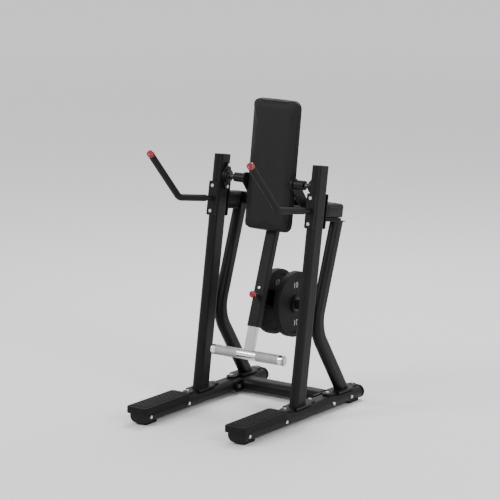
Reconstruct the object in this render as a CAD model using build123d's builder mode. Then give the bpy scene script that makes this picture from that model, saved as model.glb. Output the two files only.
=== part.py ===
# Standing pendulum machine: two side frames, a swing arm with a back pad hung between them,
# a telescopic chrome foot bar and loose weight plates. Millimetres, +Z up, -Y is the user's front.
from math import atan2, cos, degrees, radians, sin
import os

from build123d import *

os.makedirs("parts", exist_ok=True)

# ---- overall sizes ----
overall_length = 1038
side_spacing = 578
SIDES = {"left": -1, "right": 1}

# ---- base rails ----
rail_width = 100
rail_height = 60
tube_wall = 3
floor_pad_height = 12
cap_thickness = 14
cap_lip = 3
cap_plug_length = 6
cap_edge_radius = 4
footplate_overhang = 22
rail_middle_z = floor_pad_height + rail_height / 2
rail_top_z = floor_pad_height + rail_height
rail_front_y = -overall_length / 2 + footplate_overhang + cap_thickness
rail_rear_y = overall_length / 2 - cap_thickness
slip_gap = 0.3
floor_pad_width = 64
floor_pad_length = 90
floor_pad_inset = 5

# ---- footplates ----
footplate_length = 370
footplate_width = rail_width + 20
footplate_rise = 20
footplate_skirt = 13
footplate_corner = 18
tread_height = 2.5
tread_rows = 13
tread_columns = 3
tread_pitch_x = 34
tread_pitch_y = 26
tread_bar_length = 28
tread_bar_width = 8

# ---- rear cross member ----
flange_bolt_offset = 78
flange_margin = 20
flange_thickness_x = 12

# ---- fasteners ----
bolt_d = 10
bolt_hole_d = 11
head_d = 18
head_height = 7

# ---- uprights ----
upright_depth = 100
upright_width = 50
upright_length = 1150
upright_lean = 9.5
upright_foot_y = 4
plate_thickness = 10
base_plate_length = 264
base_plate_width = 84
base_plate_tongue = 52
base_plate_middle = 132
base_bolt_depth = 12
top_cap_height = 4
top_cap_plug = 14
plate_top_z = rail_top_z + plate_thickness
base_bolt_inset = 24

# ---- rear legs ----
leg_width = 50
leg_depth = 75
leg_plate_y = rail_rear_y - base_plate_length / 2 - 1
leg_foot_y = leg_plate_y + 14
cross_member_y = leg_plate_y - 51
leg_bend_point = (154, 427)
leg_bend_radius = 180
leg_top_v = 186

# ---- clamps, handles and arm pads: heights up the upright ----
clamp_u = 935
clamp_bolt_spacing = 124.5
clamp_length = 168
clamp_thickness = 6
handle_d = 25
grip_wall = 4
grip_d = handle_d + 2 * grip_wall
clamp_corner = 6
grip_start_v = -113
handle_bend_v = -327
handle_end_v = -579
handle_rise = 198
handle_bend_radius = 60
handle_cap_length = 20
handle_cap_rim = 1.5
handle_cap_radius = 8
shelf_u = clamp_u - 47
shelf_thickness = 5
shelf_end_v = leg_top_v + leg_depth / 2 + 3
arm_board_thickness = 12
arm_pad_thickness = 71
arm_pad_length = 156
arm_pad_width = 54

# ---- upper cross beam and rest stop ----
beam_height = 60
beam_depth = 40
beam_u = clamp_u + 10
beam_v = leg_top_v
stop_d = 40

# ---- pivot ----
pivot_u = 1049
pivot_v = 8
shaft_d = 25
shaft_clearance = 0.05
bearing_bolt_spacing = 106
flange_thickness = 12
flange_r = 36
flange_ear_r = 13
housing_r = 32
housing_depth = 24
insert_lip_r = 19
insert_lip = 8
insert_r = 26
sleeve_d = 46
sleeve_end_x = 205
yoke_pad_gap = 4
yoke_plate_thickness = 10

# ---- swing arm ----
arm_lean = 19.8
arm_front_offset = 90
arm_width = 60
arm_depth = 40
arm_offset = arm_front_offset + arm_depth / 2
arm_bottom = -703
yoke_tube_d = 40
yoke_tube_z = -72
yoke_plate_height = 60
guide_gap = 2
inner_width = arm_width - 2 * tube_wall - 2 * guide_gap
inner_depth = arm_depth - 2 * tube_wall - 2 * guide_gap
foot_bar_z = -842
foot_bar_d = 50
foot_bar_length = 405
foot_bar_cap = 10
inner_top = -420
pin_z = -552
pin_pitch = 25
pin_d = 9
pin_hole_d = 10
pin_holes_each_way = 4

# ---- weights ----
horn_y = 336
horn_z = -546
horn_d = 49
horn_end_x = 160
bar_spacing = 79
bar_thickness = 8
bar_width = 48
boss_length = 50
boss_web = 8
collar_r = 38
collar_gap = 2
plate_d = 326
weight_thickness = 36
plate_recess = 9
weight_inner_x = 37
horn_clearance = 1
weight_bore_d = horn_d + 2 * horn_clearance
weight_rim = 20
weight_hub_r = 44
hub_ring_r = 33
hub_ring_lip = 1.5

# ---- back pad ----
pad_lean = 8.1
pad_middle = (207, 1192)
pad_length = 640
pad_width = 266
pad_thickness = 42
board_thickness = 8
yoke_plate_x = pad_width / 2 + yoke_pad_gap
board_inset = 32
pad_corner = 42
pad_crown_radius = 12


def save(item, label):
    item.part.label = label
    export_step(item.part, f"parts/{label}.step")


def side_point(side, v, u):
    """A point of a side frame: v behind the upright's middle line, u up it."""
    lean = radians(upright_lean)
    return (
        side * side_spacing / 2,
        upright_foot_y + v * cos(lean) + u * sin(lean),
        plate_top_z + u * cos(lean) - v * sin(lean),
    )


def side_plane(side, v=0, u=0):
    """Plane across the upright: x is +X, y points back, z runs up the upright."""
    lean = radians(upright_lean)
    return Plane(origin=side_point(side, v, u), x_dir=(1, 0, 0), z_dir=(0, sin(lean), cos(lean)))


def back_plane(side, v, u):
    """Plane facing back along v: x is +X, z points back."""
    lean = radians(upright_lean)
    return Plane(origin=side_point(side, v, u), x_dir=(1, 0, 0), z_dir=(0, cos(lean), -sin(lean)))


pivot = side_point(0, pivot_v, pivot_u)


def swing_point(x, y, z):
    """A point of the swing arm: y behind the pivot, z up, square to the arm's tube."""
    lean = radians(arm_lean)
    return (x, pivot[1] + y * cos(lean) + z * sin(lean), pivot[2] + z * cos(lean) - y * sin(lean))


def swing_plane(x=0, y=0, z=0):
    lean = radians(arm_lean)
    return Plane(origin=swing_point(x, y, z), x_dir=(1, 0, 0), z_dir=(0, sin(lean), cos(lean)))


def swing_front_plane(x, y, z):
    """Plane facing forward from the arm: z points to the front."""
    lean = radians(arm_lean)
    return Plane(origin=swing_point(x, y, z), x_dir=(-1, 0, 0), z_dir=(0, -cos(lean), sin(lean)))


def across_plane(x, y, z):
    """Plane whose normal is +X."""
    return Plane(origin=(x, y, z), x_dir=(0, 1, 0), z_dir=(1, 0, 0))


def rail_plane(side, y, way=1):
    """Plane across a base rail at y, its normal along +Y or -Y."""
    return Plane(origin=(side * rail_x, y, rail_middle_z), x_dir=(1, 0, 0), z_dir=(0, way, 0))


def horn_plane(x, y=horn_y):
    """Plane across the weight horn, x to the back along the weight bracket."""
    lean = radians(arm_lean)
    return Plane(origin=swing_point(x, y, horn_z), x_dir=(0, cos(lean), -sin(lean)), z_dir=(1, 0, 0))


def bar_plane(x, z, way=1):
    """Plane across a bar that lies along X, at the arm's middle line and height z."""
    return Plane(origin=swing_point(x, arm_offset, z), x_dir=(0, 1, 0), z_dir=(way, 0, 0))


def pad_plane():
    lean = radians(pad_lean)
    return Plane(origin=(0, *pad_middle), x_dir=(1, 0, 0), z_dir=(0, -cos(lean), sin(lean)))


def through_bolt(plane, grip):
    """Hex head under the plane, shank along its normal for the grip, hex nut at the far end."""
    with BuildPart() as bolt:
        for start in (-head_height, grip):
            with BuildSketch(plane.offset(start)):
                RegularPolygon(head_d / 2, 6)
            extrude(amount=head_height)
        with BuildSketch(plane):
            Circle(bolt_d / 2)
        extrude(amount=grip)
    return bolt.part


rail_x = side_spacing / 2
base_bolt_ys = [
    plate_y + end * (base_plate_length / 2 - base_bolt_inset)
    for plate_y in (upright_foot_y, leg_plate_y)
    for end in (-1, 1)
]
footplate_rear_y = -overall_length / 2 + footplate_length
footplate_bolt_ys = [rail_front_y + 16, footplate_rear_y - 14]
flange_bolt_ys = [cross_member_y - flange_bolt_offset, cross_member_y + flange_bolt_offset]
clamp_bolt_us = [clamp_u - clamp_bolt_spacing / 2, clamp_u + clamp_bolt_spacing / 2]

# ---- base rails: flat-oval tubes lying flat, drilled for every bolt ----
for name, side in SIDES.items():
    with BuildPart() as rail:
        with BuildSketch(rail_plane(side, rail_front_y)):
            SlotOverall(rail_width, rail_height)
            SlotOverall(rail_width - 2 * tube_wall, rail_height - 2 * tube_wall, mode=Mode.SUBTRACT)
        extrude(amount=rail_rear_y - rail_front_y)
        for y in base_bolt_ys:
            with Locations((side * rail_x, y, rail_top_z)):
                Cylinder(bolt_hole_d / 2, 4 * tube_wall, mode=Mode.SUBTRACT)
        for y in footplate_bolt_ys + flange_bolt_ys:
            with Locations((side * rail_x, y, rail_middle_z)):
                Cylinder(bolt_hole_d / 2, rail_width + 10, rotation=(0, 90, 0), mode=Mode.SUBTRACT)
    save(rail, f"base_rail_{name}")

# ---- plastic end caps of the rails, a plug inside the tube and a lip outside ----
for end_name, end_y, outward in (("front", rail_front_y, -1), ("rear", rail_rear_y, 1)):
    with BuildPart() as caps:
        for side in SIDES.values():
            with BuildSketch(rail_plane(side, end_y, outward)):
                SlotOverall(rail_width + 2 * cap_lip, rail_height + 2 * cap_lip)
            extrude(amount=cap_thickness)
        fillet(caps.faces().group_by(Axis.Y)[-1 if outward > 0 else 0].edges(), cap_edge_radius)
        for side in SIDES.values():
            plug_width = rail_width - 2 * tube_wall - 2 * slip_gap
            with BuildSketch(rail_plane(side, end_y, -outward)):
                SlotOverall(plug_width, plug_width - rail_width + rail_height)
            extrude(amount=cap_plug_length)
    save(caps, f"rail_end_caps_{end_name}")

# ---- rubber pads between rails and floor ----
floor_pad_ys = [
    rail_front_y + floor_pad_length / 2 + floor_pad_inset,
    rail_rear_y - floor_pad_length / 2 - floor_pad_inset,
]
with BuildPart() as floor_pads:
    with BuildSketch(Plane.XY):
        with Locations(*[(s * rail_x, y) for s in SIDES.values() for y in floor_pad_ys]):
            RectangleRounded(floor_pad_width, floor_pad_length, 10)
    extrude(amount=floor_pad_height + 2 * tube_wall)
    for side in SIDES.values():
        with BuildSketch(rail_plane(side, -overall_length)):
            SlotOverall(rail_width, rail_height)
        extrude(amount=2 * overall_length, mode=Mode.SUBTRACT)
save(floor_pads, "floor_pads")

# ---- moulded footplates with a raised brick tread ----
footplate_top_z = rail_top_z + footplate_rise
footplate_skirt_z = rail_top_z - footplate_skirt
for name, side in SIDES.items():
    middle_y = footplate_rear_y - footplate_length / 2
    with BuildPart() as footplate:
        with BuildSketch(Plane.XY.offset(footplate_skirt_z)):
            with Locations((side * rail_x, middle_y)):
                RectangleRounded(footplate_width, footplate_length, footplate_corner)
        extrude(amount=footplate_top_z - footplate_skirt_z)
        fillet(footplate.faces().sort_by(Axis.Z)[-1].edges(), 5)
        rail_start = rail_plane(side, rail_front_y - cap_thickness - slip_gap)
        with BuildSketch(rail_start):
            SlotOverall(rail_width + 2 * slip_gap, rail_height)
        extrude(amount=footplate_length, mode=Mode.SUBTRACT)
        with BuildSketch(rail_start):
            SlotOverall(rail_width + 2 * cap_lip + 2 * slip_gap, rail_height + 2 * cap_lip + 2 * slip_gap)
        extrude(amount=cap_thickness + 2 * slip_gap, mode=Mode.SUBTRACT)
        with BuildSketch(Plane.XY.offset(footplate_top_z)):
            with Locations((side * rail_x, middle_y)):
                with GridLocations(tread_pitch_x, tread_pitch_y, tread_columns, tread_rows):
                    SlotOverall(tread_bar_length, tread_bar_width)
                with GridLocations(tread_pitch_x, tread_pitch_y, tread_columns - 1, tread_rows - 1):
                    SlotOverall(tread_bar_length, tread_bar_width)
        extrude(amount=tread_height)
    save(footplate, f"footplate_{name}")

# ---- rear cross member with a bolting flange at each end ----
member_end_x = rail_x - rail_width / 2
flange_length = 2 * (flange_bolt_offset + flange_margin)
with BuildPart() as cross_member:
    with BuildSketch(across_plane(-member_end_x + flange_thickness_x, cross_member_y, rail_middle_z)):
        SlotOverall(rail_width, rail_height)
        SlotOverall(rail_width - 2 * tube_wall, rail_height - 2 * tube_wall, mode=Mode.SUBTRACT)
    extrude(amount=2 * (member_end_x - flange_thickness_x))
    for side in SIDES.values():
        with BuildSketch(across_plane(side * member_end_x, cross_member_y, rail_middle_z)):
            RectangleRounded(flange_length, rail_height - 6, 8)
            with Locations(*[(y - cross_member_y, 0) for y in flange_bolt_ys]):
                Circle(bolt_hole_d / 2, mode=Mode.SUBTRACT)
        extrude(amount=-side * flange_thickness_x)
save(cross_member, "rear_cross_member")

# ---- bolts across each rail ----
for name, side in SIDES.items():
    outer_x = side * (rail_x + rail_width / 2)
    bolts = []
    for y in footplate_bolt_ys + flange_bolt_ys:
        bolt_plane = Plane(origin=(outer_x, y, rail_middle_z), x_dir=(0, 1, 0), z_dir=(-side, 0, 0))
        flange_grip = flange_thickness_x if y in flange_bolt_ys else 0
        bolts.append(through_bolt(bolt_plane, rail_width + flange_grip))
    with BuildPart() as rail_bolts:
        add(bolts)
    save(rail_bolts, f"rail_cross_bolts_{name}")

# ---- uprights: flat-oval tubes welded to a base plate ----
for name, side in SIDES.items():
    with BuildPart() as upright:
        with BuildSketch(side_plane(side, 0, -40)):
            SlotOverall(upright_depth, upright_width, rotation=90)
            bore_size = (upright_depth - 2 * tube_wall, upright_width - 2 * tube_wall)
            SlotOverall(*bore_size, rotation=90, mode=Mode.SUBTRACT)
        extrude(amount=upright_length + 40)
        with Locations((side * rail_x, upright_foot_y, plate_top_z - 50)):
            Box(2 * upright_depth, 3 * upright_depth, 100, mode=Mode.SUBTRACT)
        with BuildSketch(Plane.XY.offset(rail_top_z)):
            with Locations((side * rail_x, upright_foot_y)):
                SlotOverall(base_plate_length, base_plate_tongue, rotation=90)
                Rectangle(base_plate_width, base_plate_middle)
        extrude(amount=plate_thickness)
        for y in base_bolt_ys[:2]:
            with Locations((side * rail_x, y, rail_top_z + plate_thickness / 2)):
                Cylinder(bolt_hole_d / 2, 2 * plate_thickness, mode=Mode.SUBTRACT)
        for u in clamp_bolt_us:
            with BuildSketch(back_plane(side, -upright_depth, u)):
                Circle(bolt_hole_d / 2)
            extrude(amount=2 * upright_depth, mode=Mode.SUBTRACT)
    save(upright, f"upright_{name}")

# ---- plastic caps on the uprights ----
with BuildPart() as top_caps:
    for side in SIDES.values():
        with BuildSketch(side_plane(side, 0, upright_length)):
            SlotOverall(upright_depth, upright_width, rotation=90)
        extrude(amount=top_cap_height)
        with BuildSketch(side_plane(side, 0, upright_length - top_cap_plug)):
            SlotOverall(upright_depth - 2 * tube_wall - 1, upright_width - 2 * tube_wall - 1, rotation=90)
        extrude(amount=top_cap_plug)
save(top_caps, "upright_top_caps")

# ---- rear legs: one bent flat-oval tube from the rail up to the arm pad's shelf ----
leg_top = side_point(0, leg_top_v, shelf_u)
leg_up = Vector(0, leg_top[1] - leg_bend_point[0], leg_top[2] - leg_bend_point[1]).normalized()
for name, side in SIDES.items():
    x = side * rail_x
    foot_slope = (leg_foot_y - leg_bend_point[0]) / (leg_bend_point[1] - plate_top_z)
    foot_end = (x, leg_foot_y + foot_slope * 40, plate_top_z - 40)
    top_end = (x, leg_top[1] + leg_up.Y * 40, leg_top[2] + leg_up.Z * 40)
    with BuildPart() as leg:
        with BuildLine():
            FilletPolyline(foot_end, (x, *leg_bend_point), top_end, radius=leg_bend_radius)
        start_direction = Vector(0, leg_bend_point[0] - foot_end[1], leg_bend_point[1] - foot_end[2])
        with BuildSketch(Plane(origin=foot_end, x_dir=(1, 0, 0), z_dir=start_direction)):
            SlotOverall(leg_depth, leg_width, rotation=90)
            SlotOverall(leg_depth - 2 * tube_wall, leg_width - 2 * tube_wall, rotation=90, mode=Mode.SUBTRACT)
        sweep()
        with Locations((x, leg_foot_y, plate_top_z - 60)):
            Box(200, 300, 120, mode=Mode.SUBTRACT)
        with BuildSketch(side_plane(side, leg_top_v, shelf_u)):
            Rectangle(200, 300)
        extrude(amount=120, mode=Mode.SUBTRACT)
        with BuildSketch(Plane.XY.offset(rail_top_z)):
            with Locations((x, leg_plate_y)):
                SlotOverall(base_plate_length, base_plate_tongue, rotation=90)
                Rectangle(base_plate_width, base_plate_middle)
        extrude(amount=plate_thickness)
        for y in base_bolt_ys[2:]:
            with Locations((x, y, rail_top_z + plate_thickness / 2)):
                Cylinder(bolt_hole_d / 2, 2 * plate_thickness, mode=Mode.SUBTRACT)
    save(leg, f"rear_leg_{name}")

# ---- bolts down through the base plates ----
for name, side in SIDES.items():
    with BuildPart() as base_bolts:
        for y in base_bolt_ys:
            down = Plane(origin=(side * rail_x, y, plate_top_z), x_dir=(1, 0, 0), z_dir=(0, 0, -1))
            with BuildSketch(down.offset(-head_height)):
                RegularPolygon(head_d / 2, 6)
            extrude(amount=head_height)
            with BuildSketch(down):
                Circle(bolt_d / 2)
            extrude(amount=plate_thickness + base_bolt_depth)
    save(base_bolts, f"base_bolts_{name}")

# ---- arm pad brackets: rear clamp plate, shelf and a web to the beam ----
half_depth = upright_depth / 2
for name, side in SIDES.items():
    with BuildPart() as bracket:
        with BuildSketch(back_plane(side, half_depth, clamp_u)):
            RectangleRounded(upright_width, clamp_length, clamp_corner)
        extrude(amount=clamp_thickness)
        for u in clamp_bolt_us:
            with BuildSketch(back_plane(side, 0, u)):
                Circle(bolt_hole_d / 2)
            extrude(amount=2 * half_depth, mode=Mode.SUBTRACT)
        shelf_length = shelf_end_v - half_depth
        with BuildSketch(side_plane(side, half_depth + shelf_length / 2, shelf_u)):
            RectangleRounded(upright_width, shelf_length, 3)
        extrude(amount=shelf_thickness)
        web_v = beam_v - 4
        with BuildSketch(side_plane(side, web_v, shelf_u)):
            with Locations((-side * (upright_width / 2 + 4), 0)):
                Rectangle(8.0, 58)
        extrude(amount=beam_u + beam_height / 2 - shelf_u)
    save(bracket, f"arm_pad_bracket_{name}")

    with BuildPart() as board:
        with BuildSketch(side_plane(side, half_depth + clamp_thickness + 78, shelf_u + shelf_thickness)):
            RectangleRounded(upright_width - 10, arm_pad_length - 20, 12)
        extrude(amount=arm_board_thickness)
    save(board, f"arm_pad_board_{name}")

    pad_u = shelf_u + shelf_thickness + arm_board_thickness
    with BuildPart() as arm_pad:
        with BuildSketch(side_plane(side, half_depth + clamp_thickness + 1 + arm_pad_length / 2, pad_u)):
            with Locations((side * (arm_pad_width - upright_width) / 2, 0)):
                RectangleRounded(arm_pad_width - 6, arm_pad_length, 16)
        extrude(amount=arm_pad_thickness)
        fillet(arm_pad.faces().sort_by(Axis.Z)[-1].edges(), 10)
    save(arm_pad, f"arm_pad_{name}")

# ---- upper cross beam between the two brackets ----
beam_end_x = rail_x - upright_width / 2 - 8
with BuildPart() as beam:
    lean = radians(upright_lean)
    beam_centre = side_point(0, beam_v, beam_u)
    beam_plane = Plane(
        origin=(-beam_end_x, beam_centre[1], beam_centre[2]),
        x_dir=(0, cos(lean), -sin(lean)),
        z_dir=(1, 0, 0),
    )
    with BuildSketch(beam_plane):
        RectangleRounded(beam_depth, beam_height, 10)
        RectangleRounded(beam_depth - 2 * tube_wall, beam_height - 2 * tube_wall, 7, mode=Mode.SUBTRACT)
    extrude(amount=2 * beam_end_x)
save(beam, "upper_cross_beam")

# ---- rubber rest stop on the beam, its face parallel to the arm's back ----
arm_back_y = arm_offset + arm_depth / 2
with BuildPart() as rest_stop:
    with BuildSketch(back_plane(0, beam_v - beam_depth / 2, beam_u)):
        Circle(stop_d / 2)
    extrude(amount=-80)
    with BuildSketch(swing_plane(0, arm_back_y - 150 + 0.5, -400)):
        Rectangle(200, 300)
    extrude(amount=600, mode=Mode.SUBTRACT)
save(rest_stop, "rest_stop")

# ---- clamp bolts through each upright ----
for name, side in SIDES.items():
    clamp_grip = 2 * (half_depth + clamp_thickness)
    bolts = [through_bolt(back_plane(side, -clamp_grip / 2, u), clamp_grip) for u in clamp_bolt_us]
    with BuildPart() as clamp_bolts:
        add(bolts)
    save(clamp_bolts, f"clamp_bolts_{name}")

# ---- handles: clamp plate and bent tube, rubber grip, red end cap ----
rise_direction = Vector(handle_end_v - handle_bend_v, handle_rise).normalized()
for name, side in SIDES.items():
    plate_v = -half_depth - clamp_thickness
    handle_start = side_point(side, plate_v, clamp_u)
    bend = side_point(side, handle_bend_v, clamp_u)
    handle_end = side_point(side, handle_end_v, clamp_u + handle_rise)
    grip_start = side_point(side, grip_start_v, clamp_u)
    with BuildPart() as handle:
        with BuildSketch(back_plane(side, plate_v, clamp_u)):
            RectangleRounded(upright_width, clamp_length, clamp_corner)
        extrude(amount=clamp_thickness)
        for u in clamp_bolt_us:
            with BuildSketch(back_plane(side, -2 * half_depth, u)):
                Circle(bolt_hole_d / 2)
            extrude(amount=2 * half_depth, mode=Mode.SUBTRACT)
        with BuildLine():
            FilletPolyline(handle_start, bend, handle_end, radius=handle_bend_radius)
        with BuildSketch(back_plane(side, plate_v, clamp_u)):
            Circle(handle_d / 2)
        sweep()
    save(handle, f"handle_{name}")

    with BuildPart() as grip:
        with BuildLine():
            FilletPolyline(grip_start, bend, handle_end, radius=handle_bend_radius)
        with BuildSketch(back_plane(side, grip_start_v, clamp_u)):
            Circle(grip_d / 2)
            Circle(handle_d / 2 + slip_gap / 2, mode=Mode.SUBTRACT)
        sweep()
    save(grip, f"handle_grip_{name}")

    with BuildPart() as red_cap:
        rise = Vector(handle_end) - Vector(bend)
        with BuildSketch(Plane(origin=handle_end, x_dir=(1, 0, 0), z_dir=rise)):
            Circle(grip_d / 2 + handle_cap_rim)
        extrude(amount=handle_cap_length)
        fillet(red_cap.edges().filter_by(GeomType.CIRCLE).sort_by(Axis.Z)[-1], handle_cap_radius)
    save(red_cap, f"handle_cap_{name}")

# ---- two-bolt flange bearings on the uprights' inner faces ----
for name, side in SIDES.items():
    face_x = side * (rail_x - upright_width / 2)
    lean = radians(upright_lean)
    inward = Plane(
        origin=(face_x, pivot[1], pivot[2]),
        x_dir=(0, cos(lean), -sin(lean)),
        z_dir=(-side, 0, 0),
    )
    bolt_offsets = [(0, bearing_bolt_spacing / 2), (0, -bearing_bolt_spacing / 2)]
    with BuildPart() as housing:
        with BuildSketch(inward):
            Circle(flange_r)
            with Locations(*bolt_offsets):
                Circle(flange_ear_r)
            make_hull()
        extrude(amount=flange_thickness)
        with BuildSketch(inward):
            Circle(housing_r)
        extrude(amount=housing_depth)
        fillet(housing.faces().sort_by(Axis.X)[0 if side > 0 else -1].edges(), 3)
        with BuildSketch(inward):
            Circle(insert_r)
            with Locations(*bolt_offsets):
                Circle(bolt_hole_d / 2)
        extrude(amount=housing_depth, mode=Mode.SUBTRACT)
    save(housing, f"bearing_housing_{name}")

    with BuildPart() as insert:
        with BuildSketch(inward):
            Circle(insert_r - shaft_clearance)
        extrude(amount=housing_depth)
        with BuildSketch(inward):
            Circle(insert_lip_r)
        extrude(amount=housing_depth + insert_lip)
        with BuildSketch(inward):
            Circle(shaft_d / 2 + shaft_clearance)
        extrude(amount=housing_depth + insert_lip, mode=Mode.SUBTRACT)
    save(insert, f"bearing_insert_{name}")

    with BuildPart() as bearing_bolts:
        with Locations(inward):
            with Locations(*[(0, offset[1], flange_thickness + head_height / 2) for offset in bolt_offsets]):
                Cylinder(head_d / 2, head_height)
            with Locations(*[(0, offset[1], flange_thickness / 2) for offset in bolt_offsets]):
                Cylinder(bolt_d / 2, flange_thickness)
        fillet(bearing_bolts.faces().sort_by(Axis.X)[0 if side > 0 else -1].edges(), 3)
    save(bearing_bolts, f"bearing_bolts_{name}")

    with BuildPart() as shaft:
        with BuildSketch(across_plane(side * (rail_x - upright_width / 2 - 2), pivot[1], pivot[2])):
            Circle(shaft_d / 2)
        extrude(amount=-side * (rail_x - upright_width / 2 - 2 - yoke_plate_x))
    save(shaft, f"pivot_shaft_{name}")

# ---- swing yoke: shaft sleeves, side plates, cross tube and the back pad's mounting plate ----
lean = radians(arm_lean)
along_arm_back = (0, cos(lean), -sin(lean))
yoke_span = (arm_offset**2 + yoke_tube_z**2) ** 0.5
yoke_turn = degrees(atan2(yoke_tube_z, arm_offset))
board_back = pad_plane().offset(-pad_thickness / 2 - board_thickness)
tube_centre = swing_point(0, arm_offset, yoke_tube_z)
tube_in_pad = board_back.to_local_coords(Vector(*tube_centre))
mount_plate_length = 300
mount_plate_thickness = 5
with BuildPart() as yoke:
    with BuildSketch(board_back.offset(-mount_plate_thickness)):
        with Locations((0, tube_in_pad.Y + 30)):
            RectangleRounded(90, mount_plate_length, 10)
    extrude(amount=mount_plate_thickness)
    with BuildSketch(board_back.offset(tube_in_pad.Z)):
        with Locations((0, tube_in_pad.Y)):
            Rectangle(60, yoke_tube_d)
    extrude(amount=-tube_in_pad.Z - mount_plate_thickness / 2)
    with BuildSketch(swing_plane(0, arm_offset, yoke_tube_z - 12)):
        Rectangle(arm_width + 1, arm_depth + 1)
    extrude(amount=-400, mode=Mode.SUBTRACT)
    for side in SIDES.values():
        plate_plane = Plane(
            origin=swing_point(side * yoke_plate_x, 0, 0),
            x_dir=along_arm_back,
            z_dir=(1, 0, 0),
        )
        with BuildSketch(plate_plane):
            with Locations(Location((arm_offset / 2, yoke_tube_z / 2), yoke_turn)):
                SlotCenterToCenter(yoke_span, yoke_plate_height)
        extrude(amount=side * yoke_plate_thickness)
        with BuildSketch(across_plane(side * (yoke_plate_x + yoke_plate_thickness), pivot[1], pivot[2])):
            Circle(sleeve_d / 2)
        extrude(amount=side * (sleeve_end_x - yoke_plate_x - yoke_plate_thickness))
    with BuildSketch(across_plane(-yoke_plate_x, tube_centre[1], tube_centre[2])):
        Circle(yoke_tube_d / 2)
    extrude(amount=2 * yoke_plate_x)
    with BuildSketch(across_plane(-sleeve_end_x, pivot[1], pivot[2])):
        Circle(shaft_d / 2)
    extrude(amount=sleeve_end_x - yoke_plate_x, mode=Mode.SUBTRACT)
    with BuildSketch(across_plane(yoke_plate_x, pivot[1], pivot[2])):
        Circle(shaft_d / 2)
    extrude(amount=sleeve_end_x - yoke_plate_x, mode=Mode.SUBTRACT)
save(yoke, "swing_yoke")

# ---- swing arm: rectangular tube, hung from the yoke, with the weight bracket behind it ----
with BuildPart() as arm:
    with BuildSketch(swing_plane(0, arm_offset, arm_bottom)):
        RectangleRounded(arm_width, arm_depth, 6)
        RectangleRounded(arm_width - 2 * tube_wall, arm_depth - 2 * tube_wall, 4, mode=Mode.SUBTRACT)
    extrude(amount=yoke_tube_z - 12 - arm_bottom)
    with BuildSketch(bar_plane(-arm_width, yoke_tube_z)):
        Circle(yoke_tube_d / 2)
    extrude(amount=2 * arm_width, mode=Mode.SUBTRACT)
    with BuildSketch(swing_front_plane(0, arm_offset, pin_z)):
        Circle(pin_hole_d / 2)
    extrude(amount=arm_depth, mode=Mode.SUBTRACT)
    bar_length = horn_y - arm_back_y
    for bar_side in (-1, 1):
        bar_z = horn_z + bar_side * bar_spacing / 2 - bar_thickness / 2
        with BuildSketch(swing_plane(0, arm_back_y + bar_length / 2, bar_z)):
            Rectangle(bar_width, bar_length)
        extrude(amount=bar_thickness)
    with BuildSketch(horn_plane(-boss_length / 2)):
        Circle(bar_spacing / 2 + bar_thickness / 2)
    extrude(amount=boss_length)
    with BuildSketch(horn_plane(-boss_web / 2, arm_back_y + bar_length / 2)):
        Rectangle(bar_length, bar_spacing)
    extrude(amount=boss_web)
    with BuildSketch(horn_plane(-boss_length)):
        Circle(horn_d / 2)
    extrude(amount=2 * boss_length, mode=Mode.SUBTRACT)
save(arm, "swing_arm")

# ---- plastic guide in the arm's lower end ----
guide_height = 30
with BuildPart() as guide:
    with BuildSketch(swing_plane(0, arm_offset, arm_bottom)):
        RectangleRounded(arm_width - 2 * tube_wall - slip_gap, arm_depth - 2 * tube_wall - slip_gap, 4)
        RectangleRounded(inner_width + 2 * slip_gap, inner_depth + 2 * slip_gap, 4, mode=Mode.SUBTRACT)
    extrude(amount=guide_height)
save(guide, "arm_guide_bush")

# ---- weight horn: one bar through the boss, collar on each side ----
with BuildPart() as horn:
    with BuildSketch(horn_plane(-horn_end_x)):
        Circle(horn_d / 2)
    extrude(amount=2 * horn_end_x)
    chamfer(horn.edges().filter_by(GeomType.CIRCLE), 3)
save(horn, "weight_horn")
for name, side in SIDES.items():
    with BuildPart() as collar:
        with BuildSketch(horn_plane(side * boss_length / 2)):
            Circle(collar_r)
            Circle(horn_d / 2, mode=Mode.SUBTRACT)
        extrude(amount=side * (weight_inner_x - boss_length / 2 - collar_gap))
    save(collar, f"horn_collar_{name}")

    # rubber-coated plate round a steel hub ring: rim and hub stand proud of the web
    web_plane = horn_plane(side * (weight_inner_x + weight_thickness / 2))
    with BuildPart() as hub_ring:
        with BuildSketch(web_plane):
            Circle(hub_ring_r)
            Circle(weight_bore_d / 2, mode=Mode.SUBTRACT)
        extrude(amount=weight_thickness / 2 + hub_ring_lip, both=True)
    save(hub_ring, f"weight_plate_hub_{name}")

    with BuildPart() as plate:
        with BuildSketch(web_plane):
            Circle(plate_d / 2)
        extrude(amount=weight_thickness / 2, both=True)
        fillet(plate.edges().filter_by(GeomType.CIRCLE), 5)
        for recess_side in (-1, 1):
            with BuildSketch(web_plane.offset(recess_side * weight_thickness / 2)):
                Circle(plate_d / 2 - weight_rim)
                Circle(weight_hub_r, mode=Mode.SUBTRACT)
            extrude(amount=-recess_side * plate_recess, mode=Mode.SUBTRACT)
        with BuildSketch(web_plane):
            Circle(hub_ring_r)
        extrude(amount=weight_thickness, both=True, mode=Mode.SUBTRACT)
    save(plate, f"weight_plate_{name}")

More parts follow.
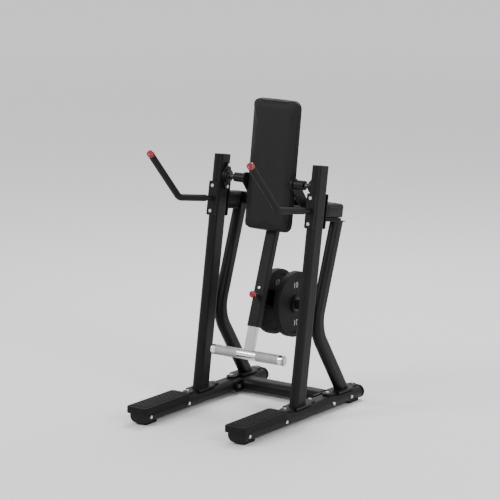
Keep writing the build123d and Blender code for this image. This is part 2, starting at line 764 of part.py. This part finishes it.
# ---- chrome foot tube with a row of pin holes, and the foot bar welded to its end ----
with BuildPart() as foot_tube:
    with BuildSketch(swing_plane(0, arm_offset, foot_bar_z)):
        RectangleRounded(inner_width, inner_depth, 4)
        RectangleRounded(inner_width - 2 * tube_wall, inner_depth - 2 * tube_wall, 2, mode=Mode.SUBTRACT)
    extrude(amount=inner_top - foot_bar_z)
    for step in range(-pin_holes_each_way, pin_holes_each_way + 1):
        with BuildSketch(swing_front_plane(0, arm_offset, pin_z + step * pin_pitch)):
            Circle(pin_hole_d / 2)
        extrude(amount=arm_depth, mode=Mode.SUBTRACT)
    with BuildSketch(bar_plane(-arm_width, foot_bar_z)):
        Circle(foot_bar_d / 2)
    extrude(amount=2 * arm_width, mode=Mode.SUBTRACT)
save(foot_tube, "foot_tube")
with BuildPart() as foot_bar:
    with BuildSketch(bar_plane(-foot_bar_length / 2, foot_bar_z)):
        Circle(foot_bar_d / 2)
        Circle(foot_bar_d / 2 - tube_wall, mode=Mode.SUBTRACT)
    extrude(amount=foot_bar_length)
save(foot_bar, "foot_bar")
with BuildPart() as bar_caps:
    for side in SIDES.values():
        with BuildSketch(bar_plane(side * foot_bar_length / 2, foot_bar_z, side)):
            Circle(foot_bar_d / 2)
        extrude(amount=foot_bar_cap)
    fillet(bar_caps.edges().sort_by(Axis.X)[0], 4)
    fillet(bar_caps.edges().sort_by(Axis.X)[-1], 4)
save(bar_caps, "foot_bar_caps")

# ---- spring pull pin: threaded body on the arm's front, steel plunger, red knob ----
arm_front_y = arm_offset - arm_depth / 2
plunger_reach = 41
knob_gap = 33
with BuildPart() as pin_body:
    with BuildSketch(swing_front_plane(0, arm_front_y, pin_z)):
        RegularPolygon(13, 6)
    extrude(amount=8)
    with BuildSketch(swing_front_plane(0, arm_front_y, pin_z)):
        Circle(9)
    extrude(amount=22)
    with BuildSketch(swing_front_plane(0, arm_front_y, pin_z)):
        Circle(pin_d / 2 + slip_gap)
    extrude(amount=30, mode=Mode.SUBTRACT)
save(pin_body, "pull_pin_body")
with BuildPart() as plunger:
    with BuildSketch(swing_front_plane(0, arm_offset - inner_depth / 2 - 1, pin_z)):
        Circle(pin_d / 2)
    extrude(amount=(arm_depth - inner_depth) / 2 - 1 + plunger_reach)
save(plunger, "pull_pin_plunger")
with BuildPart() as knob:
    with BuildSketch(swing_front_plane(0, arm_front_y - knob_gap, pin_z)):
        Circle(17)
    extrude(amount=22)
    fillet(knob.edges().filter_by(GeomType.CIRCLE), 7)
    with BuildSketch(swing_front_plane(0, arm_front_y, pin_z)):
        Circle(pin_d / 2)
    extrude(amount=plunger_reach, mode=Mode.SUBTRACT)
save(knob, "pull_pin_knob")
with BuildPart() as arm_bolt:
    with BuildSketch(swing_front_plane(0, arm_front_y, pin_z + 40)):
        Circle(8)
    extrude(amount=5)
    fillet(arm_bolt.faces().sort_by(Axis.Y)[0].edges(), 3)
save(arm_bolt, "arm_bolt")

# ---- back pad: board on the mounting plate and the cushion on the board ----
with BuildPart() as back_board:
    with BuildSketch(pad_plane().offset(-pad_thickness / 2 - board_thickness)):
        RectangleRounded(pad_width - 2 * board_inset, pad_length - 2 * board_inset, 25)
    extrude(amount=board_thickness)
save(back_board, "back_pad_board")
with BuildPart() as back_pad:
    with BuildSketch(pad_plane().offset(-pad_thickness / 2)):
        RectangleRounded(pad_width, pad_length, pad_corner)
    extrude(amount=pad_thickness)
    fillet(back_pad.faces().sort_by(Axis.Y)[0].edges(), pad_crown_radius)
save(back_pad, "back_pad")
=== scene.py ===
import math

import bmesh
import bpy
from mathutils import Matrix, Vector
from mathutils.bvhtree import BVHTree


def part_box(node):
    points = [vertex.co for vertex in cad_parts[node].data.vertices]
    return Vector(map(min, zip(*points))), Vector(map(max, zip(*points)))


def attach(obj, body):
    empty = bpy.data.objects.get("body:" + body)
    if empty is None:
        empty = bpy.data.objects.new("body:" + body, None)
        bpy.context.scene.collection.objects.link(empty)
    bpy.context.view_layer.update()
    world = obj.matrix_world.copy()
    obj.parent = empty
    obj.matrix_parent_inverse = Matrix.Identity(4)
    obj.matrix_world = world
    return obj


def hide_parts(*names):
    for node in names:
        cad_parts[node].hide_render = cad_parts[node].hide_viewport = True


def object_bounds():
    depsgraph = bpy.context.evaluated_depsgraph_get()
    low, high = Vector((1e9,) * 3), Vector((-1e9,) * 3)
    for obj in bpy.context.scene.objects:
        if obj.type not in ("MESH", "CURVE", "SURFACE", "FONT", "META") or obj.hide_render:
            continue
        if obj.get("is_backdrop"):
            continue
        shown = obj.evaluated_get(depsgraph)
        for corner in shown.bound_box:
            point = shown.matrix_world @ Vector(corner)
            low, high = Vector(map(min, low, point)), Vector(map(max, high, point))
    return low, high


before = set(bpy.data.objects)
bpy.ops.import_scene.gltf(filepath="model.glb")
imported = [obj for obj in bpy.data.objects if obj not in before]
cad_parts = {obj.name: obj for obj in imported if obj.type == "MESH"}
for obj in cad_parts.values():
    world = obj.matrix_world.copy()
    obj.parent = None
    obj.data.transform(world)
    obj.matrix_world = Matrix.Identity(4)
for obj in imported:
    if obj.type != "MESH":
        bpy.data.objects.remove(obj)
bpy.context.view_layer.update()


class Value:
    """A number socket in a material, used in ordinary arithmetic."""

    def __init__(self, material, socket):
        self.material = material
        self.socket = socket

    def math(self, operation, a, b=0.0):
        made = self.material.node("ShaderNodeMath", {"operation": operation}, {0: a, 1: b})
        return made.out(0)

    def __add__(self, other):
        return self.math("ADD", self, other)

    def __radd__(self, other):
        return self.math("ADD", other, self)

    def __sub__(self, other):
        return self.math("SUBTRACT", self, other)

    def __rsub__(self, other):
        return self.math("SUBTRACT", other, self)

    def __mul__(self, other):
        return self.math("MULTIPLY", self, other)

    def __rmul__(self, other):
        return self.math("MULTIPLY", other, self)

    def above(self, limit):
        return self.math("GREATER_THAN", self, limit)


class Made:
    """A node that was added, and its outputs."""

    def __init__(self, material, node):
        self.material = material
        self.node = node

    def out(self, which):
        return Value(self.material, self.node.outputs[which])


class Finish:
    """A material under construction, with one method for any node."""

    def __init__(self, name):
        self.material = bpy.data.materials.new(name)
        self.material.use_nodes = True
        self.tree = self.material.node_tree
        self.shader = self.tree.nodes["Principled BSDF"]

    def node(self, kind, settings=None, values=None):
        made = self.tree.nodes.new(kind)
        for key, setting in (settings or {}).items():
            setattr(made, key, setting)
        for key, value in (values or {}).items():
            if isinstance(value, Value):
                self.tree.links.new(value.socket, made.inputs[key])
            else:
                made.inputs[key].default_value = value
        return Made(self, made)

    def place(self):
        return self.node("ShaderNodeTexCoord").out("Object")

    def streaked(self, *scales):
        """Object coordinates with a scale for each axis, for a pattern drawn out one way."""
        made = self.node(
            "ShaderNodeMapping", {"vector_type": "POINT"}, {0: self.place(), "Scale": scales}
        )
        return made.out(0)

    def noise(self, scale, detail, roughness, at=None):
        made = self.node(
            "ShaderNodeTexNoise",
            {},
            {"Vector": at or self.place(), "Scale": scale, "Detail": detail, "Roughness": roughness},
        )
        return made.out("Fac")

    def shades(self, factor, dark, light):
        """A colour that goes from the first at a factor of 0 to the second at 1."""
        made = self.node(
            "ShaderNodeMix", {"data_type": "RGBA"}, {0: factor, 6: (*dark, 1.0), 7: (*light, 1.0)}
        )
        return made.out(2)

    def set(self, name, value):
        if isinstance(value, Value):
            self.tree.links.new(value.socket, self.shader.inputs[name])
        else:
            self.shader.inputs[name].default_value = value

    def bump(self, height, distance, strength):
        made = self.node(
            "ShaderNodeBump", {}, {"Height": height, "Distance": distance, "Strength": strength}
        )
        self.set("Normal", made.out("Normal"))


def add_piece(name, mesh_build, body=None, material=None):
    """An object whose mesh comes from a bmesh, riding on a body."""
    mesh = bpy.data.meshes.new(name)
    mesh_build.to_mesh(mesh)
    mesh_build.free()
    piece = bpy.data.objects.new(name, mesh)
    bpy.context.scene.collection.objects.link(piece)
    if material:
        piece.data.materials.append(material.material)
    for face in mesh.polygons:
        face.use_smooth = True
    if body:
        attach(piece, body)
    return piece


near_distance, far_distance = 1.5, 14.0
floor_radius = 60.0
floor_drop = 0.0005
floor_paint = Finish("studio_floor")
spread = floor_paint.node(
    "ShaderNodeVectorMath", {"operation": "LENGTH"}, {0: floor_paint.place()}
).out("Value")
# Painted light: the floor's colour is darkest near the machine and brightens out to far_distance,
# standing in for the brighter room far behind it.
far_painted_light = floor_paint.node(
    "ShaderNodeMapRange",
    {"clamp": True},
    {"Value": spread, "From Min": near_distance, "From Max": far_distance},
).out(0)
floor_paint.set(
    "Base Color", floor_paint.shades(far_painted_light, dark=(0.70, 0.70, 0.71), light=(0.98, 0.98, 0.985))
)
floor_paint.set("Roughness", 0.7)
floor_paint.set("Specular IOR Level", 0.2)
disc = bmesh.new()
bmesh.ops.create_circle(disc, cap_ends=True, segments=96, radius=floor_radius)
bmesh.ops.translate(disc, vec=(0, 0, -floor_drop), verts=disc.verts)
studio = add_piece("studio_floor", disc, None, floor_paint)
studio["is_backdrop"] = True

# The camera and lights. A long lens looks from the front right, slightly down; three
# large soft boxes and a bright room light the machine evenly.
azimuth = math.radians(35.36)
elevation = math.radians(11.96)
aim = Vector((0.056, -0.061, 0.824))
camera_distance = 12.185
away = Vector(
    (
        math.sin(azimuth) * math.cos(elevation),
        -math.cos(azimuth) * math.cos(elevation),
        math.sin(elevation),
    )
)
camera_data = bpy.data.cameras.new("camera")
camera_data.lens = 183.6
camera_data.sensor_width = 36
camera_data.clip_end = 200
camera = bpy.data.objects.new("camera", camera_data)
camera.location = aim + camera_distance * away
camera.rotation_euler = away.to_track_quat("Z", "Y").to_euler()
bpy.context.scene.collection.objects.link(camera)
bpy.context.scene.camera = camera

world = bpy.data.worlds.new("room")
world.use_nodes = True
world.node_tree.nodes["Background"].inputs["Color"].default_value = (1.0, 1.0, 1.0, 1.0)
world.node_tree.nodes["Background"].inputs["Strength"].default_value = 0.95
bpy.context.scene.world = world

lit_point = Vector((0, 0, 0.7))
for light_name, place, size, power in (
    ("key_box", (-3.5, -5.0, 5.5), 2.2, 300),
    ("side_box", (5.5, -1.5, 3.5), 1.6, 170),
    ("top_box", (-0.5, 2.5, 5.0), 2.4, 260),
):
    light_data = bpy.data.lights.new(light_name, "AREA")
    light_data.size = size
    light_data.energy = power
    light = bpy.data.objects.new(light_name, light_data)
    light.location = place
    light.rotation_euler = (Vector(place) - lit_point).to_track_quat("Z", "Y").to_euler()
    bpy.context.scene.collection.objects.link(light)


# The frame and the swing: rails, uprights, legs, beams, brackets, handle tubes, yoke, arm,
# bearing housings and collars are steel, sprayed and baked with satin black powder.
def dress(nodes, finish):
    """Puts a finish on carried-over CAD nodes."""
    for node in nodes:
        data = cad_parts[node].data
        data.materials.clear()
        data.materials.append(finish.material)


powder = Finish("black_powder_coat")
peel = powder.noise(scale=420.0, detail=3.0, roughness=0.55)
cloudy = powder.noise(scale=6.0, detail=3.0, roughness=0.6)
dust = powder.noise(scale=38.0, detail=6.0, roughness=0.7)
powder.set(
    "Base Color",
    powder.shades(
        cloudy * 0.6 + dust * 0.4, dark=(0.0035, 0.0035, 0.0038), light=(0.0085, 0.0085, 0.009)
    ),
)
powder.set("Roughness", 0.34 + 0.14 * dust)
powder.set("Specular IOR Level", 0.15)
powder.bump(peel, distance=0.00035, strength=0.6)
both = ("left", "right")
dress(
    [
        f"{part}_{side}"
        for part in (
            "base_rail",
            "upright",
            "rear_leg",
            "arm_pad_bracket",
            "handle",
            "bearing_housing",
            "horn_collar",
        )
        for side in both
    ]
    + ["rear_cross_member", "upper_cross_beam", "swing_yoke", "swing_arm"],
    powder,
)

# Weld beads at the uprights' feet: a round bead of steel laid about each flat-oval tube
# where it meets its base plate, under the same powder coat.
tube_radius = 0.0265
tube_half_flat = 0.0254
bead_radius = 0.0032
foot_x, foot_y = 0.289, 0.004
base_plate_top = 0.082
bead_rise = 0.0008
for side_name, side in (("left", -1), ("right", 1)):
    bead = bmesh.new()
    bmesh.ops.create_circle(bead, cap_ends=False, segments=72, radius=tube_radius)
    for vert in bead.verts:
        vert.co.y += tube_half_flat if vert.co.y > 0.0 else -tube_half_flat
    bead_line = bpy.data.meshes.new("bead_line")
    bead.to_mesh(bead_line)
    bead.free()
    bead_ring = bpy.data.objects.new("bead_ring", bead_line)
    bpy.context.scene.collection.objects.link(bead_ring)
    bead_ring.modifiers.new("skin", "SKIN")
    for skin_vert in bead_line.skin_vertices[0].data:
        skin_vert.radius = (bead_radius, bead_radius)
    bead_ring.modifiers.new("round", "SUBSURF").levels = 1
    evaluated = bead_ring.evaluated_get(bpy.context.evaluated_depsgraph_get())
    solid = bmesh.new()
    solid.from_mesh(bpy.data.meshes.new_from_object(evaluated))
    bpy.data.objects.remove(bead_ring)
    bead_place = (side * foot_x, foot_y, base_plate_top + bead_rise)
    bmesh.ops.translate(solid, vec=bead_place, verts=solid.verts)
    bmesh.ops.recalc_face_normals(solid, faces=solid.faces)
    bead_piece = add_piece(f"upright_weld_{side_name}", solid, "frame", powder)

# End caps, upright caps and the arm's guide: injection-moulded black plastic with a fine
# spark-eroded grain, pressed into the tubes.
cap_plastic = Finish("black_plastic")
grain = cap_plastic.noise(scale=900.0, detail=2.0, roughness=0.5)
smudge = cap_plastic.noise(scale=25.0, detail=4.0, roughness=0.6)
cap_plastic.set(
    "Base Color", cap_plastic.shades(smudge, dark=(0.005, 0.005, 0.0052), light=(0.011, 0.011, 0.0115))
)
cap_plastic.set("Roughness", 0.42 + 0.14 * smudge)
cap_plastic.set("Specular IOR Level", 0.15)
cap_plastic.bump(grain, distance=0.0003, strength=0.5)
dress(["rail_end_caps_front", "rail_end_caps_rear", "upright_top_caps", "arm_guide_bush"], cap_plastic)

# Footplates: thick moulded plastic treads, scuffed paler on the raised bars where shoes
# rub, and dusty between them.
tread = Finish("footplate_plastic")
tread_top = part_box("footplate_right")[1].z
top_band = 0.0012
scuff = tread.noise(scale=55.0, detail=8.0, roughness=0.7)
tread_grain = tread.noise(scale=600.0, detail=3.0, roughness=0.6)
height = tread.node("ShaderNodeSeparateXYZ", {}, {0: tread.place()}).out("Z")
raised_bars = height.above(tread_top - top_band)
tread.set(
    "Base Color",
    tread.shades(
        raised_bars * scuff * 0.9 + 0.15 * scuff, dark=(0.004, 0.004, 0.0042), light=(0.030, 0.030, 0.031)
    ),
)
tread.set("Roughness", 0.5 + 0.2 * scuff)
tread.set("Specular IOR Level", 0.12)
tread.bump(tread_grain * 0.6 + scuff * 0.4, distance=0.0005, strength=0.7)
dress(["footplate_left", "footplate_right"], tread)

# Floor pads, rest stop and handle grips: black nitrile rubber with a dull bloom. The
# grips are sleeves stretched over the handles' tubes.
rubber = Finish("black_rubber")
bloom = rubber.noise(scale=30.0, detail=6.0, roughness=0.65)
pores = rubber.noise(scale=1400.0, detail=2.0, roughness=0.5)
rubber.set(
    "Base Color", rubber.shades(bloom, dark=(0.006, 0.006, 0.006), light=(0.013, 0.013, 0.0135))
)
rubber.set("Roughness", 0.5 + 0.22 * bloom)
rubber.set("Specular IOR Level", 0.13)
rubber.bump(pores, distance=0.0004, strength=0.8)
dress(["floor_pads", "rest_stop", "handle_grip_left", "handle_grip_right"], rubber)

# Bolts, nuts and the pull pin's plunger: zinc-plated steel with fine turning marks and
# the slightly cloudy look of the plating.
steel = Finish("bright_steel")
streaks = steel.noise(scale=1.0, detail=3.0, roughness=0.6, at=steel.streaked(900.0, 120.0, 120.0))
plating = steel.noise(scale=60.0, detail=5.0, roughness=0.6)
steel.set("Base Color", steel.shades(plating, dark=(0.50, 0.50, 0.51), light=(0.72, 0.72, 0.72)))
steel.set("Metallic", 1.0)
steel.set("Roughness", 0.22 + 0.16 * streaks)
steel.bump(streaks, distance=0.00015, strength=0.5)
dress(
    [
        f"{part}_{side}"
        for part in ("rail_cross_bolts", "base_bolts", "clamp_bolts", "bearing_bolts")
        for side in both
    ]
    + ["arm_bolt", "pull_pin_plunger"],
    steel,
)

# Stub shafts, bearing inserts, weight horn, plate hubs and the pull pin's body: turned
# steel under black oxide, oiled, with the turning marks left in.
oxide = Finish("blackened_steel")
rings = oxide.noise(scale=1.0, detail=3.0, roughness=0.6, at=oxide.streaked(700.0, 90.0, 90.0))
oil = oxide.noise(scale=45.0, detail=5.0, roughness=0.65)
oxide.set("Base Color", oxide.shades(oil, dark=(0.018, 0.018, 0.019), light=(0.055, 0.055, 0.057)))
oxide.set("Metallic", 0.7)
oxide.set("Roughness", 0.28 + 0.18 * rings)
oxide.bump(rings, distance=0.00015, strength=0.5)
dress(
    [f"{part}_{side}" for part in ("pivot_shaft", "bearing_insert", "weight_plate_hub") for side in both]
    + ["pull_pin_body", "weight_horn"],
    oxide,
)

# The telescopic tube and foot bar: polished chrome plate over steel. The bar's two ends
# are knurled in crossed diagonal cuts and its middle is left smooth.
chrome = Finish("chrome")
handling = chrome.noise(scale=45.0, detail=5.0, roughness=0.6)
chrome.set("Base Color", chrome.shades(handling, dark=(0.50, 0.50, 0.51), light=(0.66, 0.66, 0.67)))
chrome.set("Metallic", 1.0)
chrome.set("Roughness", 0.14 + 0.12 * handling)
dress(["foot_tube"], chrome)

bar_low, bar_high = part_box("foot_bar")
bar_middle = (bar_low + bar_high) / 2
knurled = Finish("knurled_chrome")
split = knurled.node("ShaderNodeSeparateXYZ", {}, {0: knurled.place()})
along = split.out("X")
turned = knurled.node(
    "ShaderNodeMath",
    {"operation": "ARCTAN2"},
    {0: split.out("Z") - bar_middle.z, 1: split.out("Y") - bar_middle.y},
).out(0)
cut_pitch = 0.003
cuts_round = 46 / (2 * math.pi)
cuts_along = 1 / cut_pitch
smooth_half = 0.055
smooth_end = 0.016


def ridges(phase):
    """Triangular ridges from 0 to 1 across each cut."""
    fraction = knurled.node("ShaderNodeMath", {"operation": "FRACT"}, {0: phase}).out(0)
    return knurled.node("ShaderNodeMath", {"operation": "ABSOLUTE"}, {0: fraction * 2.0 - 1.0}).out(0)


leaning_right = ridges(along * cuts_along + turned * cuts_round)
leaning_left = ridges(along * cuts_along - turned * cuts_round)
diamonds = leaning_right * leaning_left
from_middle = knurled.node("ShaderNodeMath", {"operation": "ABSOLUTE"}, {0: along}).out(0)
knurl_zone = from_middle.above(smooth_half) * (1 - from_middle.above(bar_high.x - smooth_end))
wear = knurled.noise(scale=70.0, detail=5.0, roughness=0.6)
polished = (0.80, 0.80, 0.81)
knurl_dark = (0.34, 0.34, 0.35)
# The knurled ends are coloured darker than the smooth chrome, darkest down in the cuts between the
# diamonds.
knurled.set(
    "Base Color", knurled.shades(knurl_zone * (0.55 + 0.45 * (1 - diamonds)), polished, knurl_dark)
)
knurled.set("Metallic", 1.0)
knurled.set("Roughness", 0.06 + 0.06 * wear + knurl_zone * 0.26)
knurled.bump(knurl_zone * diamonds, distance=0.0009, strength=0.9)
dress(["foot_bar"], knurled)
dress(["foot_bar_caps"], chrome)

# Handle caps and the pull pin's knob: glossy red moulded plastic with a faint flow mark.
red = Finish("red_plastic")
flow = red.noise(scale=40.0, detail=3.0, roughness=0.5)
red.set("Base Color", red.shades(flow, dark=(0.17, 0.0008, 0.004), light=(0.24, 0.002, 0.007)))
red.set("Roughness", 0.12 + 0.06 * flow)
red.set("Coat Weight", 0.25)
red.set("Coat Roughness", 0.08)
dress(["handle_cap_left", "handle_cap_right", "pull_pin_knob"], red)

# Pad boards: black-painted plywood behind the back cushion and under the arm cushions,
# with the ply's grain just showing through the paint.
board_paint = Finish("pad_board")
ply = board_paint.noise(
    scale=1.0, detail=5.0, roughness=0.6, at=board_paint.streaked(160.0, 20.0, 9.0)
)
board_paint.set(
    "Base Color", board_paint.shades(ply, dark=(0.005, 0.0047, 0.0045), light=(0.013, 0.012, 0.011))
)
board_paint.set("Roughness", 0.55 + 0.2 * ply)
board_paint.set("Specular IOR Level", 0.12)
board_paint.bump(ply, distance=0.0006, strength=0.5)
dress(["back_pad_board", "arm_pad_board_left", "arm_pad_board_right"], board_paint)

# Weight plates: iron with a thick matt rubber coat. Pale moulded numerals stand on the
# web of each face, above and below the hub.
coat = Finish("plate_coating")
coat_bloom = coat.noise(scale=22.0, detail=7.0, roughness=0.7)
coat_pores = coat.noise(scale=700.0, detail=3.0, roughness=0.6)
coat.set(
    "Base Color", coat.shades(coat_bloom, dark=(0.005, 0.005, 0.0052), light=(0.014, 0.014, 0.0145))
)
coat.set("Roughness", 0.46 + 0.2 * coat_bloom)
coat.set("Specular IOR Level", 0.13)
coat.bump(coat_pores, distance=0.0006, strength=0.7)
dress(["weight_plate_left", "weight_plate_right"], coat)
numeral_paint = Finish("numeral_paint")
numeral_wear = numeral_paint.noise(scale=120.0, detail=5.0, roughness=0.7)
numeral_paint.set(
    "Base Color",
    numeral_paint.shades(numeral_wear, dark=(0.34, 0.34, 0.34), light=(0.62, 0.62, 0.61)),
)
numeral_paint.set("Roughness", 0.5)
numeral_size = 0.040
numeral_thickness = 0.0010
numeral_rise = 0.094
web_depth = 0.0092


def moulded_ten():
    """The number 10 as a thin solid, flat in the XY plane and centred on the origin."""
    curve = bpy.data.curves.new("numeral", "FONT")
    curve.body = "10"
    curve.size = numeral_size
    curve.align_x = "CENTER"
    curve.align_y = "CENTER"
    curve.extrude = numeral_thickness
    curve.space_character = 1.05
    writer = bpy.data.objects.new("numeral_writer", curve)
    bpy.context.scene.collection.objects.link(writer)
    evaluated = writer.evaluated_get(bpy.context.evaluated_depsgraph_get())
    drawn = bmesh.new()
    drawn.from_mesh(bpy.data.meshes.new_from_object(evaluated))
    bpy.data.objects.remove(writer)
    return drawn


for side_name, side in (("left", -1), ("right", 1)):
    plate_low, plate_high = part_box(f"weight_plate_{side_name}")
    plate_middle = (plate_low + plate_high) / 2
    for face_name, facing in (("inner", -1), ("outer", 1)):
        looks = facing * side
        face_x = (plate_high.x if looks > 0 else plate_low.x) - looks * web_depth
        stand_up = Matrix.Rotation(math.radians(90), 4, "Z") @ Matrix.Rotation(math.radians(90), 4, "X")
        if looks < 0:
            stand_up = Matrix.Rotation(math.radians(180), 4, "Z") @ stand_up
        for place_name, rise in (("upper", 1), ("lower", -1)):
            ten = moulded_ten()
            place = Matrix.Translation((face_x, plate_middle.y, plate_middle.z + rise * numeral_rise))
            bmesh.ops.transform(ten, matrix=place @ stand_up, verts=ten.verts)
            numeral_name = f"plate_numeral_{side_name}_{face_name}_{place_name}"
            numeral = add_piece(numeral_name, ten, f"plate_{side_name}", numeral_paint)
            for face in numeral.data.polygons:
                face.use_smooth = False

# The back pad: foam on a board, wrapped in black leatherette that swells between its
# edges, with a corded seam round the front. Its back stays flat against the board.
leather = Finish("black_leatherette")
cells = leather.node(
    "ShaderNodeTexVoronoi", {"feature": "DISTANCE_TO_EDGE"}, {"Vector": leather.place(), "Scale": 620.0}
).out("Distance")
creases = leather.noise(scale=26.0, detail=6.0, roughness=0.6)
fine = leather.noise(scale=260.0, detail=4.0, roughness=0.6)
leather.set(
    "Base Color",
    leather.shades(
        creases * 0.7 + fine * 0.3, dark=(0.0055, 0.0055, 0.0058), light=(0.0125, 0.0125, 0.013)
    ),
)
leather.set("Roughness", 0.40 + 0.16 * creases)
leather.set("Specular IOR Level", 0.16)
leather.bump(cells * 1.6 + fine * 0.35 + creases * 0.5, distance=0.0007, strength=0.8)


cloth_steps = 20
smoothing_passes = 6


def snapshot(piece):
    """A piece's mesh as its modifiers leave it now."""
    return bpy.data.meshes.new_from_object(piece.evaluated_get(bpy.context.evaluated_depsgraph_get()))


def swollen(node, name, body, lean, resize, most_move, voxel, pinned):
    """A cushion blown up by cloth pressure from its CAD solid, held where pinned(point) is true.

    The solid is resized along the pad's own axes first, and no point moves by over most_move.
    """
    source = bmesh.new()
    source.from_mesh(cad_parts[node].data)
    bmesh.ops.remove_doubles(source, verts=source.verts, dist=1e-6)
    low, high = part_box(node)
    to_pad = Matrix.Rotation(math.radians(lean), 4, "X") @ Matrix.Translation(-(low + high) / 2)
    bmesh.ops.scale(source, vec=resize, space=to_pad, verts=source.verts)
    piece = add_piece(name, source, None, leather)
    remesh = piece.modifiers.new("remesh", "REMESH")
    remesh.mode = "VOXEL"
    remesh.voxel_size = voxel
    skin = snapshot(piece)
    piece.modifiers.clear()
    piece.data = skin
    rest_points = [v.co.copy() for v in skin.vertices]
    held = piece.vertex_groups.new(name="held")
    held.add([v.index for v in skin.vertices if pinned(to_pad @ v.co)], 1.0, "ADD")
    cloth = piece.modifiers.new("cloth", "CLOTH")
    cloth.settings.quality = 5
    cloth.settings.mass = 0.3
    cloth.settings.tension_stiffness = 20
    cloth.settings.compression_stiffness = 20
    cloth.settings.bending_stiffness = 2
    cloth.settings.use_pressure = True
    cloth.settings.uniform_pressure_force = 4.0
    cloth.settings.effector_weights.gravity = 0
    cloth.settings.vertex_group_mass = "held"
    for step in range(1, cloth_steps + 1):
        bpy.context.scene.frame_set(step)
    blown = snapshot(piece)
    piece.modifiers.clear()
    for vert, rest in zip(blown.vertices, rest_points):
        moved = vert.co - rest
        if moved.length > most_move:
            vert.co = rest + moved * (most_move / moved.length)
    piece.data = blown
    bpy.context.scene.frame_set(1)
    even = bmesh.new()
    even.from_mesh(piece.data)
    for _ in range(smoothing_passes):
        bmesh.ops.smooth_vert(
            even, verts=even.verts, factor=0.5, use_axis_x=True, use_axis_y=True, use_axis_z=True
        )
    even.to_mesh(piece.data)
    even.free()
    for face in piece.data.polygons:
        face.use_smooth = True
    fine_skin = piece.modifiers.new("fine", "SUBSURF")
    fine_skin.levels = 1
    fine_skin.render_levels = 1
    piece.vertex_groups.clear()
    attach(piece, body)
    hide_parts(node)
    return piece


shortest_straight = 0.03
seam_rise = 0.35
right = Vector((1, 0, 0))


def corded_seam(pad, name, body, centre, length_way, half_width, half_length, corner, radius):
    """A piped seam that follows a rounded rectangle and lies on the pad's own surface.

    The rectangle is half_width each way along X and half_length each way along length_way.
    """
    surface = bmesh.new()
    surface.from_mesh(pad.data)
    tree = BVHTree.FromBMesh(surface)
    ring = bmesh.new()
    bmesh.ops.create_grid(ring, x_segments=1, y_segments=1, size=1.0)
    for vert in ring.verts:
        vert.co.x *= half_width
        vert.co.y *= half_length
    bmesh.ops.bevel(
        ring,
        geom=list(ring.verts),
        offset=corner,
        segments=10,
        affect="VERTICES",
        profile=0.5,
        material=-1,
    )
    straights = [e for e in ring.edges if e.calc_length() > shortest_straight]
    bmesh.ops.subdivide_edges(ring, edges=straights, cuts=24)
    bmesh.ops.delete(ring, geom=list(ring.faces), context="FACES_ONLY")
    order, seen = [], set()
    current = ring.verts[:][0]
    while current is not None:
        order.append(current)
        seen.add(current)
        unseen = [e.other_vert(current) for e in current.link_edges if e.other_vert(current) not in seen]
        current = unseen[0] if unseen else None
    line = bpy.data.curves.new(name, "CURVE")
    line.dimensions = "3D"
    line.bevel_depth = radius
    line.bevel_resolution = 3
    spline = line.splines.new("NURBS")
    spline.points.add(len(order) - 1)
    for point, vert in zip(spline.points, order):
        wanted = centre + right * vert.co.x + length_way * vert.co.y
        on_skin, skin_normal = tree.find_nearest(wanted)[:2]
        point.co = (*(on_skin + skin_normal * radius * seam_rise), 1.0)
    spline.order_u = 3
    spline.use_cyclic_u = True
    ring.free()
    surface.free()
    holder = bpy.data.objects.new(name + "_line", line)
    bpy.context.scene.collection.objects.link(holder)
    piping = bmesh.new()
    piping.from_mesh(snapshot(holder))
    bpy.data.objects.remove(holder)
    made = add_piece(name, piping, body, leather)
    return made


pad_low, pad_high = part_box("back_pad")
pad_lean = 8.1
pad_half = 0.021
back_cushion = swollen(
    "back_pad",
    "back_cushion",
    "swing",
    pad_lean,
    resize=(1.04, 0.96, 1.008),
    most_move=0.009,
    voxel=0.006,
    pinned=lambda p: p.y > pad_half * 0.55,
)
lean_angle = math.radians(pad_lean)
pad_out = Vector((0, -math.cos(lean_angle), math.sin(lean_angle)))
pad_up = Vector((0, math.sin(lean_angle), math.cos(lean_angle)))
corded_seam(
    back_cushion,
    "back_cushion_piping",
    "swing",
    centre=(pad_low + pad_high) / 2 + pad_out * 0.004,
    length_way=pad_up,
    half_width=(pad_high.x - pad_low.x) / 2,
    half_length=0.302,
    corner=0.038,
    radius=0.0022,
)

# Arm pads: the same leatherette over thick foam, one behind each upright, screwed down
# through its board onto the bracket's shelf.
arm_lean = 9.5
arm_angle = math.radians(arm_lean)
arm_up = Vector((0, math.sin(arm_angle), math.cos(arm_angle)))
arm_back = Vector((0, math.cos(arm_angle), -math.sin(arm_angle)))
held_below = -0.031
for side_name in both:
    low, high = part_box(f"arm_pad_{side_name}")
    cushion = swollen(
        f"arm_pad_{side_name}",
        f"arm_cushion_{side_name}",
        "frame",
        arm_lean,
        resize=(0.93, 0.975, 0.95),
        most_move=0.005,
        voxel=0.005,
        pinned=lambda p: p.z < held_below,
    )
    corded_seam(
        cushion,
        f"arm_cushion_piping_{side_name}",
        "frame",
        centre=(low + high) / 2 + arm_up * 0.018,
        length_way=arm_back,
        half_width=(high.x - low.x) / 2,
        half_length=0.078,
        corner=0.014,
        radius=0.0016,
    )

low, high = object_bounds()
